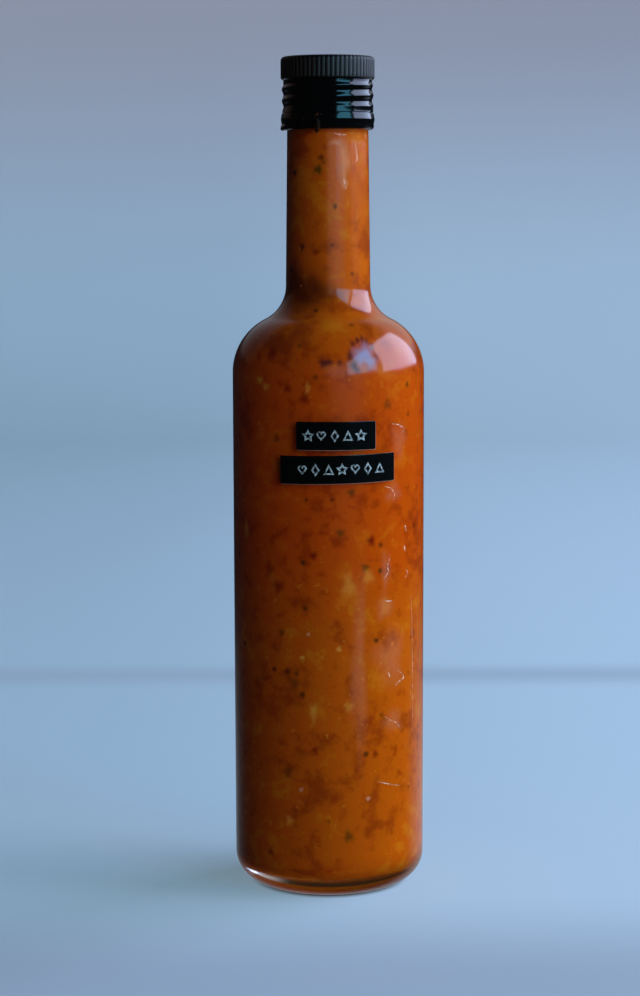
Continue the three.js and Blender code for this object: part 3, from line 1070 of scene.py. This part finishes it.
# Rounds of the ring, as steps inwards and upwards in mm
ROLLED_EDGE = [(0.6, 0.25), (0.35, 0.7), (0.24, 1.3)]
HEM_ROUND = [(0.3, 0), (0.2, 0.4)]
FACE_ROUND = [(0.05, -0.4), (0, -0.1), (0.04, 0.1)]
TOP_ROUND = [(-0.12, -0.4), (0, 0)]


class BOTTLE_OT_ring(bpy.types.Operator):
    """Ring that the cap leaves on the neck: sloping top, upright face and a rolled hem with a bend"""

    bl_idname = "bottle.ring"
    bl_label = "Cap ring"

    def execute(self, context):
        ring = context.scene.bottle_ring
        face = ring.radius
        inner = face - ring.sheet - RING_WALL
        outline = [(ring.hem_radius, ring.bottom)]
        rounds = [
            (face, ring.bottom, ROLLED_EDGE),
            (face, ring.hem, HEM_ROUND),
            (face, ring.shoulder, FACE_ROUND),
            (ring.top_radius, ring.top, TOP_ROUND),
        ]
        for radius, height, steps in rounds:
            outline += [(radius - inset * MM, height + rise * MM) for inset, rise in steps]
        outline += [(ring.top_radius - ring.sheet, ring.top), (inner, ring.shoulder), (inner, ring.hem)]
        outline += [(ring.hem_radius - ring.sheet, ring.bottom + ring.sheet)]

        def bent(angles, radii, heights):
            turn = (angles + math.pi) % FULL_TURN - math.pi
            bend = np.clip(1 - np.abs(turn - ring.bend_angle) / ring.bend_width, 0, 1)
            share = np.clip((ring.hem - heights) / (ring.hem - ring.bottom), 0, 1)
            return radii + ring.bend_out * bend * share, heights - ring.bend_down * bend * share

        piece = turned("cap_band", outline, even_turn(RING_COLUMNS), bent)
        finished(piece, black_lacquer(context.scene.bottle_cap), "black_lacquer", "cap_ring")
        return {"FINISHED"}


GLUE_AND_HIGHLIGHT_SHOWN = 0.06 * MM
TAPE_STEPS = 60
# Shares of the rounded corner at which its sections lie
CORNER_SHARES = [0, 0.04, 0.12, 0.25, 0.45, 0.7, 1]
BEVEL_ROUND = 0.3
MOTIF_ROOT = 0.05 * MM
MOTIF_CREST = 0.3
MITRE_LIMIT = 2.0
HEART_POINTS = 28


def tape_strip(name, tape, start, end, middle, rise, radius, thickness):
    """Strip bent round the body: a bevelled section with rounded corners, swept from end to end."""
    run = radius * (end - start)
    bevel = min(tape.bevel, thickness / 2)
    places = [tape.corner * share for share in CORNER_SHARES]
    places += list(np.linspace(tape.corner, run - tape.corner, TAPE_STEPS))[1:-1]
    places += [run - place for place in places[: len(CORNER_SHARES)][::-1]]
    vertices = []
    for place in places:
        inner = tape.corner - min(place, run - place)
        cut = tape.corner - math.sqrt(max(0, tape.corner**2 - inner**2)) if inner > 0 else 0
        half = tape.height / 2 - cut
        end_share = min(1, min(place, run - place) / bevel)
        depth = thickness - bevel * (1 - math.sqrt(1 - (1 - end_share) ** 2))
        soft = BEVEL_ROUND * bevel
        upper = [(0, half), (depth - bevel, half), (depth - soft, half - soft)]
        upper += [(depth, half - bevel), (depth, half - bevel * 3)]
        section = upper + [(out, -up) for out, up in upper[::-1]]
        angle = start + place / radius
        base = middle + rise * (place / run - 0.5)
        for out, up in section:
            r = radius + out
            vertices.append((r * math.sin(angle), -r * math.cos(angle), base + up))
    return swept(name, vertices, len(section))


def star(points, outer, inner):
    corners = []
    for i in range(2 * points):
        angle = math.pi / 2 + math.pi * i / points
        reach = outer if i % 2 == 0 else inner
        corners.append((reach * math.cos(angle), reach * math.sin(angle)))
    return corners


def heart(size):
    """Heart curve, about as high and wide as twice the size."""
    points = []
    for i in range(HEART_POINTS):
        t = FULL_TURN * (i + 0.5) / HEART_POINTS
        x = 16 * math.sin(t) ** 3
        y = 13 * math.cos(t) - 5 * math.cos(2 * t) - 2 * math.cos(3 * t) - math.cos(4 * t)
        points.append((x / 17 * size, (y + 2.5) / 15 * size))
    return points[::-1]


def motif(name, corners, stroke, relief):
    """Raised line along a closed shape: two sloping sides and a flat top."""
    corners = [Vector((*c, 0)) for c in corners]
    count = len(corners)
    side, crest = stroke / 2, stroke * MOTIF_CREST
    rails = [(side, -MOTIF_ROOT), (crest, relief), (-crest, relief), (-side, -MOTIF_ROOT)]
    vertices = []
    for i, corner in enumerate(corners):
        before = (corner - corners[i - 1]).normalized()
        after = (corners[(i + 1) % count] - corner).normalized()
        normal_before = Vector((before.y, -before.x, 0))
        normal_after = Vector((after.y, -after.x, 0))
        mitre = (normal_before + normal_after).normalized()
        stretch = 1 / max(1 / MITRE_LIMIT, mitre.dot(normal_after))
        for out, up in rails:
            vertices.append(corner + mitre * out * stretch + Vector((0, 0, up)))
    piece = swept(name, vertices, len(rails), closed=True, sharp=math.radians(20))
    bpy.context.scene.collection.objects.unlink(piece)
    return piece


def motif_tree(material, shapes):
    """A row of motifs bent round the body, taken in turn from a collection."""
    tree = new_tree(
        "tape_motifs",
        Count=("NodeSocketInt", 5),
        Radius=("NodeSocketFloat", 32 * MM),
        First_angle=("NodeSocketFloat", 0.0),
        Step_angle=("NodeSocketFloat", 0.1),
        Height=("NodeSocketFloat", 0.15),
        Climb=("NodeSocketFloat", 0.0),
        First_motif=("NodeSocketInt", 0),
    )
    given = add(tree, "NodeGroupInput").outputs
    line = add(tree, "GeometryNodeMeshLine", {"Count": given["Count"]})
    index = add(tree, "GeometryNodeInputIndex").outputs[0]
    turns = {0: index, 1: given["Step angle"], 2: given["First angle"]}
    turn = add(tree, "ShaderNodeMath", turns, operation="MULTIPLY_ADD").outputs[0]
    heights = {0: index, 1: given["Climb"], 2: given["Height"]}
    height = add(tree, "ShaderNodeMath", heights, operation="MULTIPLY_ADD").outputs[0]
    place = on_cylinder(tree, turn, given["Radius"], height)
    row = add(tree, "GeometryNodeSetPosition", {"Geometry": line.outputs[0], "Position": place})
    facing = add(tree, "ShaderNodeCombineXYZ", {0: math.pi / 2, 2: turn})
    pick = add(tree, "ShaderNodeMath", {0: index, 1: given["First motif"]}, operation="ADD")
    chosen = {"Collection": shapes, "Separate Children": True, "Reset Children": True}
    stock = add(tree, "GeometryNodeCollectionInfo", chosen)
    copies = {
        "Points": row.outputs[0],
        "Instance": stock.outputs[0],
        "Pick Instance": True,
        "Instance Index": pick.outputs[0],
        "Rotation": facing.outputs[0],
    }
    return planted(tree, copies, material, smooth=False)


class BOTTLE_OT_tapes(bpy.types.Operator):
    """Two strips of embossing tape stuck to the front of the body"""

    bl_idname = "bottle.tapes"
    bl_label = "Embossing tapes"

    def execute(self, context):
        tape = context.scene.bottle_tape
        radius = context.scene.bottle_glass.body_radius
        vinyl = vinyl_tape()
        # Pale strip below and beside each tape: glue, with a painted highlight on the lit edge
        glue_and_highlight = plain("tape_glue_and_highlight_edge", "8A6A60", 0.6, 1.45)
        shift = tape.glue_and_highlight_edge / radius
        places = {
            "upper": (tape.upper_from, tape.upper_to, tape.upper_height, 0),
            "lower": (tape.lower_from, tape.lower_to, tape.lower_height, tape.lower_rise),
        }
        for name, (start, end, middle, rise) in places.items():
            strip = tape_strip(f"{name}_strip", tape, start, end, middle, rise, radius, tape.thickness)
            finished(strip, vinyl, "tape_plastic", f"tape_{name}")
        for name, (start, end, middle, rise) in places.items():
            ends = (start + shift, end + shift)
            below = middle - tape.glue_and_highlight_edge
            strip = tape_strip(f"{name}_glue", tape, *ends, below, rise, radius, GLUE_AND_HIGHLIGHT_SHOWN)
            finished(strip, glue_and_highlight, "tape_plastic")
        return {"FINISHED"}


class BOTTLE_OT_motifs(bpy.types.Operator):
    """Embossed shapes along the two tapes: stars, hearts, diamonds and triangles"""

    bl_idname = "bottle.motifs"
    bl_label = "Embossed motifs"

    def execute(self, context):
        tape = context.scene.bottle_tape
        radius = context.scene.bottle_glass.body_radius + tape.thickness
        half = tape.motif_size / 2
        line = tape.motif_stroke
        reach = half - line / 2
        outlines = {
            "motif_a_star": star(5, half, half * 0.5),
            "motif_b_heart": heart(reach),
            "motif_c_diamond": [(0, half), (-reach * 0.8, 0), (0, -half), (reach * 0.8, 0)],
            "motif_d_triangle": [(0, reach), (-reach, -reach), (reach, -reach)],
        }
        shapes = bpy.data.collections.new("motif_shapes")
        for name, corners in outlines.items():
            shapes.objects.link(motif(name, corners, line, tape.motif_relief))
        pale = stressed_vinyl()
        tree = motif_tree(pale, shapes)
        step = tape.motif_step / radius
        # Each row's name, number of motifs, middle, height, climb and first motif
        rows_of = [
            ("upper_motifs", 5, tape.upper_row, tape.upper_height, 0.0, 0),
            ("lower_motifs", 7, tape.lower_row, tape.lower_height, tape.lower_rise, 1),
        ]
        span = tape.lower_to - tape.lower_from
        for name, count, middle, height, rise, first in rows_of:
            climb = rise * step / span
            piece = grown(
                name,
                tree,
                Count=count,
                Radius=radius,
                First_angle=middle - step * (count - 1) / 2,
                Step_angle=step,
                Height=height - climb * (count - 1) / 2,
                Climb=climb,
                First_motif=first,
            )
            finished(piece, pale, "tape_plastic")
        for shape in list(shapes.objects):
            discard(shape)
        bpy.data.collections.remove(shapes)
        return {"FINISHED"}


# Dried crumbs on the ring: their number, turns in degrees, heights in mm, largest radius in mm and seed
DRIED_CRUMBS = [
    ("dried_crumbs_front", 14, (-19, -9), (258.5, 262.6), 0.7, 5),
    ("dried_crumbs_left", 12, (-50, -28), (259.4, 262.4), 0.6, 8),
]
CRUMB_SUNK = (0.2 * MM, 0.3 * MM)
CRUMB_SMALLEST = 0.2 * MM
CRUMB_THICKNESS = 0.3 * MM
DROP_LUMPS = 0.06
DROP_NARROWING = 0.35


class BOTTLE_OT_dried(bpy.types.Operator):
    """Dried drop of ketchup that clings to the ring and hangs below its hem"""

    bl_idname = "bottle.dried"
    bl_label = "Dried ketchup"

    def execute(self, context):
        low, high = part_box("dried_drop")
        centre = (low + high) / 2
        size = high - low
        shape = bmesh.new()
        bmesh.ops.create_icosphere(shape, subdivisions=5, radius=0.5)
        for vertex in shape.verts:
            co = vertex.co
            lump = DROP_LUMPS * math.sin(13 * co.z + 5 * co.x) * math.cos(11 * co.x - 4 * co.z)
            co *= 1 + lump
            narrow = 1 - DROP_NARROWING * max(0, -2 * co.z)
            vertex.co = Vector((co.x * size.x * narrow, co.y * size.y * narrow, co.z * size.z)) + centre
        mesh = bpy.data.meshes.new("drop")
        shape.to_mesh(mesh)
        shape.free()
        mesh.shade_smooth()
        piece = bpy.data.objects.new("dried_ketchup_drop", mesh)
        context.scene.collection.objects.link(piece)
        crust = dried_ketchup()
        finished(piece, crust, "dried_pulp", "dried_drop")
        tree = bit_tree()
        face = context.scene.bottle_ring.radius
        for name, count, turns, heights, largest, seed in DRIED_CRUMBS:
            crumbs = grown(
                name,
                tree,
                Count=count,
                From_angle=math.radians(turns[0]),
                To_angle=math.radians(turns[1]),
                Low=heights[0] * MM,
                High=heights[1] * MM,
                Low_radius=face - CRUMB_SUNK[0],
                High_radius=face - CRUMB_SUNK[1],
                Smallest=CRUMB_SMALLEST,
                Largest=largest * MM,
                Thickness=CRUMB_THICKNESS,
                Seed=seed,
                Material=crust,
            )
            finished(crumbs, crust, "dried_pulp")
        return {"FINISHED"}


# Stage


CAMERA_PLACE = (-2.94 * MM, -798.5 * MM, 236.2 * MM)
CAMERA_PITCH = 7.38
CAMERA_ROLL = -0.16
CAMERA_LENS = 85
CAMERA_SENSOR = 36
PAPER_DROP = 0.2 * MM
SWEEP_FLAT = 1.5
SWEEP_ROUND = 0.8
SWEEP_HEIGHT = 2.6
WINDOW_DISTANCE = 1.5
FRONT_WINDOW = ((-3.5, -0.83), (0.42, 1.9), (0.6, 2.4, 3.5))
SIDE_WINDOW = ((-0.56, 1.5), (0.345, 1.9), (2.7, 3.3, 4.9))
LIT_MIDDLE = (0, 0, 0.15)
FRONT_FILL = ((0.75, -1.7, 0.45), (1.6, 0.8), (3.1, 2.8, 2.8))
SIDE_FILL = ((1.95, -0.35, 0.6), (1.2, 1.2), (2.7, 3.1, 3.2))
SWEEP_STEPS = 24
SWEEP_COLUMNS = 128
# Tones of the paper's painted glow, and spans of its painted shade
PAPER_GLOW_LEFT = (0.115, 0.19, 0.24, 1)
PAPER_GLOW_RIGHT = (0.16, 0.245, 0.31, 1)
PAPER_TOP_SHADE = (0.08, 0.05, 0.03, 1)
PAPER_FRONT_SHADE = (0.07, 0.09, 0.11, 1)
PAPER_LINE_SHADE = (0.095, 0.14, 0.17, 1)
# Painted shadow under the bottle, out to the reach given below
PAPER_SHADOW_UNDER = (0.012, 0.007, 0.003, 1)
PAPER_ACROSS = (-0.15, 0.15)
PAPER_UP = (0.08, 0.5)
PAPER_NEAR = (-0.02, -0.11)
PAPER_SHADOW_REACH = (28 * MM, 23 * MM)
TABLE_LINE = 0.345
LINE_WIDTHS = (0.035, -0.035)
ROOM_DARK = (0.012, 0.014, 0.018, 1)
ROOM_LEFT = (0.085, 0.05, 0.035, 1)
ROOM_RIGHT = (0.45, 0.5, 0.6, 1)
ROOM_TABLE = (0.35, 0.42, 0.5, 1)
SHADE_LIGHT = (0.035, 0.03, 0.03, 1)
SHADE_BELOW = (1.3, 1.15, 0.85, 1)
# Painted shadow of the bottle seen through its base, and the pale painted glint beside it
SHADOW_BEHIND_BASE = (0.018, 0.009, 0.003, 1)
GLINT_BESIDE_BASE = (0.5, 0.44, 0.42, 1)
# Parts of the room as spans along the axes of a direction, from where each starts to where it is full
PALER_SIDE = [("X", -1.0, 0.4)]
WALL_BEHIND = [("Z", 0.1, 0.25), ("Z", 0.8, 0.6), ("Y", 0.1, 0.5)]
TABLE_BEHIND = [("Z", -0.16, -0.26), ("Y", 0.25, 0.75)]
TABLE_BESIDE = [("Z", 0.0, -0.3), ("Z", -0.95, -0.6), ("X", 0.0, 0.9)]
PAST_BASE = [("X", 0.3, 0.6)]


class BOTTLE_OT_stage(bpy.types.Operator):
    """Studio sweep, two tall windows and two soft lights on the right, the room's tones and the camera"""

    bl_idname = "bottle.stage"
    bl_label = "Stage"

    def execute(self, context):
        scene = context.scene
        profile = [(0, -PAPER_DROP), (SWEEP_FLAT, -PAPER_DROP)]
        profile += arc(SWEEP_FLAT, SWEEP_ROUND, SWEEP_ROUND + PAPER_DROP, -math.pi / 2, 0, SWEEP_STEPS)
        profile += [(SWEEP_FLAT + SWEEP_ROUND, SWEEP_HEIGHT)]
        paper = turned("studio_sweep", profile, even_turn(SWEEP_COLUMNS))
        paper.data.flip_normals()
        paper.visible_glossy = False
        paper.visible_diffuse = False
        paper.visible_transmission = False
        paper.data.materials.append(studio_paper())
        add_window("front_window", *FRONT_WINDOW)
        add_window("side_window", *SIDE_WINDOW)
        add_fill("front_fill", *FRONT_FILL)
        add_fill("side_fill", *SIDE_FILL)
        scene.world = room_world()
        camera = bpy.data.cameras.new("camera")
        camera.lens = CAMERA_LENS
        camera.sensor_width = CAMERA_SENSOR
        holder = bpy.data.objects.new("camera", camera)
        turn = Matrix.Rotation(math.radians(90 - CAMERA_PITCH), 4, "X")
        roll = Matrix.Rotation(math.radians(CAMERA_ROLL), 4, "Z")
        holder.matrix_world = Matrix.Translation(CAMERA_PLACE) @ turn @ roll
        scene.collection.objects.link(holder)
        scene.camera = holder
        scene.view_settings.view_transform = "Standard"
        return {"FINISHED"}


def add_window(name, across, up, radiance):
    """Tall window on the right, given its span in y, its span in z and its radiance."""
    place = (WINDOW_DISTANCE, sum(across) / 2, sum(up) / 2)
    size = (up[1] - up[0], across[1] - across[0])
    soft_light(name, place, (0, math.pi / 2, 0), size, radiance, True)


def add_fill(name, place, size, radiance):
    """Soft light that is turned to the bottle and gives no reflection of its own."""
    turn = (Vector(LIT_MIDDLE) - Vector(place)).to_track_quat("-Z", "Y").to_euler()
    soft_light(name, place, turn, size, radiance, False)


def soft_light(name, place, turn, size, radiance, reflected):
    """Rectangle of light of an even radiance in red, green and blue, which the camera doesn't see."""
    light = bpy.data.lights.new(name, "AREA")
    light.shape = "RECTANGLE"
    light.size, light.size_y = size
    light.color = [value / max(radiance) for value in radiance]
    light.energy = max(radiance) * light.size * light.size_y * math.pi
    lamp = bpy.data.objects.new(name, light)
    lamp.location = place
    lamp.rotation_euler = turn
    lamp.visible_camera = False
    lamp.visible_glossy = reflected
    bpy.context.scene.collection.objects.link(lamp)


def room_world():
    """Dark room with a pale wall behind and a pale table, both paler to the right.

    The camera sees one tone all round. The light that falls on the bottle from here comes up from the
    table on its right. What is seen through the glass of the base is a painted shadow, dark brown, with a
    pale painted glint where the rays run to the right.
    """
    world = bpy.data.worlds.new("room")
    world.use_nodes = True
    tree = world.node_tree
    tree.nodes.clear()
    way = add(tree, "ShaderNodeTexCoord").outputs["Generated"]
    axes = add(tree, "ShaderNodeSeparateXYZ", {0: way}).outputs

    def changed(base, tone, part):
        return toned(tree, base, tone, *[(axes[axis], start, end) for axis, start, end in part])

    upper = changed(ROOM_DARK, changed(ROOM_LEFT, ROOM_RIGHT, PALER_SIDE), WALL_BEHIND)
    tone = changed(upper, ROOM_TABLE, TABLE_BEHIND + PALER_SIDE)
    seen_by = {
        "Is Diffuse Ray": changed(SHADE_LIGHT, SHADE_BELOW, TABLE_BESIDE),
        "Is Transmission Ray": changed(SHADOW_BEHIND_BASE, GLINT_BESIDE_BASE, PAST_BASE),
        "Is Camera Ray": linear("A9BDD0"),
    }
    path = add(tree, "ShaderNodeLightPath").outputs
    for ray, seen in seen_by.items():
        inputs = {0: path[ray], 6: tone, 7: seen}
        tone = add(tree, "ShaderNodeMix", inputs, data_type="RGBA").outputs[2]
    background = add(tree, "ShaderNodeBackground", {"Color": tone, "Strength": 1.0})
    add(tree, "ShaderNodeOutputWorld", {"Surface": background.outputs[0]})
    return world


class BOTTLE_PT_panel(bpy.types.Panel):
    """Steps that build the bottle"""

    bl_label = "Ketchup bottle"
    bl_space_type = "VIEW_3D"
    bl_region_type = "UI"
    bl_category = "Bottle"

    def draw(self, context):
        for step in STEPS:
            self.layout.operator(step.bl_idname)


GROUPS = {
    "bottle_glass": BottleSizes,
    "bottle_ketchup": KetchupSizes,
    "bottle_cap": CapSizes,
    "bottle_ring": RingSizes,
    "bottle_tape": TapeSizes,
}
STEPS = [
    BOTTLE_OT_glass,
    BOTTLE_OT_ketchup,
    BOTTLE_OT_cap,
    BOTTLE_OT_ring,
    BOTTLE_OT_tapes,
    BOTTLE_OT_motifs,
    BOTTLE_OT_dried,
    BOTTLE_OT_stage,
]


def register():
    for name, group in GROUPS.items():
        bpy.utils.register_class(group)
        setattr(bpy.types.Scene, name, PointerProperty(type=group))
    for step in STEPS + [BOTTLE_PT_panel]:
        bpy.utils.register_class(step)


def unregister():
    for step in [BOTTLE_PT_panel] + STEPS[::-1]:
        bpy.utils.unregister_class(step)
    for name, group in GROUPS.items():
        delattr(bpy.types.Scene, name)
        bpy.utils.unregister_class(group)


def main():
    register()
    for step in STEPS:
        family, name = step.bl_idname.split(".")
        getattr(getattr(bpy.ops, family), name)()


if __name__ == "__main__":
    main()
